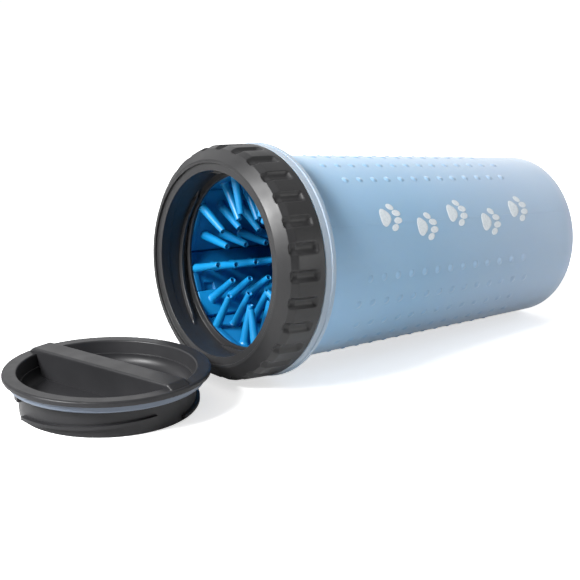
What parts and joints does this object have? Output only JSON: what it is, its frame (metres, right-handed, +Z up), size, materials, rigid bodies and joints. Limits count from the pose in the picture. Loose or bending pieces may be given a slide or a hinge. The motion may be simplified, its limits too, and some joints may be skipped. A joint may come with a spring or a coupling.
{
  "type": "paw washer cup",
  "caption": "Tapered translucent cup with a screw collar, a removable soft bristle insert for washing a dog's paw, and a dished screw lid with a crossbar handle.",
  "frame": {"origin": "centre of the bounding box's underside, on the floor that the cup and the lid lie on", "axes": "+Z up, +X from the lid and the mouth towards the cup's base"},
  "size_m": [0.3734, 0.1318, 0.1329],
  "materials": {
    "cup_plastic": "frosted translucent polypropylene",
    "collar_plastic": "soft-touch moulded plastic",
    "lid_plastic": "satin moulded plastic",
    "insert_silicone": "smooth silicone",
    "gasket_silicone": "translucent silicone",
    "seal_silicone": "translucent silicone"
  },
  "bodies": {
    "cup": {"cup": "cup_plastic"},
    "insert": {"insert_panel_1": "insert_silicone", "insert_panel_2": "insert_silicone", "insert_panel_3": "insert_silicone", "insert_panel_4": "insert_silicone", "insert_panel_5": "insert_silicone", "insert_panel_6": "insert_silicone", "insert_panel_7": "insert_silicone", "insert_panel_8": "insert_silicone", "bristles_1": "insert_silicone", "bristles_2": "insert_silicone", "bristles_3": "insert_silicone", "bristles_4": "insert_silicone", "bristles_5": "insert_silicone", "bristles_6": "insert_silicone", "bristles_7": "insert_silicone", "bristles_8": "insert_silicone", "closure_flap": "insert_silicone", "hinge_webs": "insert_silicone"},
    "collar": {"collar": "collar_plastic", "mouth_ring": "collar_plastic", "collar_seal": "seal_silicone"},
    "lid_gasket": {"lid_gasket": "gasket_silicone"},
    "lid": {"lid": "lid_plastic"}
  },
  "joints": [
    {"name": "collar_lift", "type": "slide", "parent": "cup", "child": "insert", "axis": [-0.9971, 0, 0.076], "range_m": [0, 0.009]},
    {"name": "collar_turn", "type": "hinge", "parent": "insert", "child": "collar", "pos_m": [-0.06347, 0, 0.06829], "axis": [-0.9971, 0, 0.076], "range_deg": [0, 270]},
    {"name": "lid_lift", "type": "slide", "parent": "cup", "child": "lid_gasket", "axis": [0, 0, 1], "range_m": [0, 0.12]},
    {"name": "lid_twist", "type": "hinge", "parent": "lid_gasket", "child": "lid", "pos_m": [-0.13117, 0.003, 0], "axis": [0, 0, 1], "continuous": true}
  ],
  "couplings": [
    {"joint": "collar_lift", "follows": "collar_turn", "m_per_rad": 0.0019099}
  ]
}
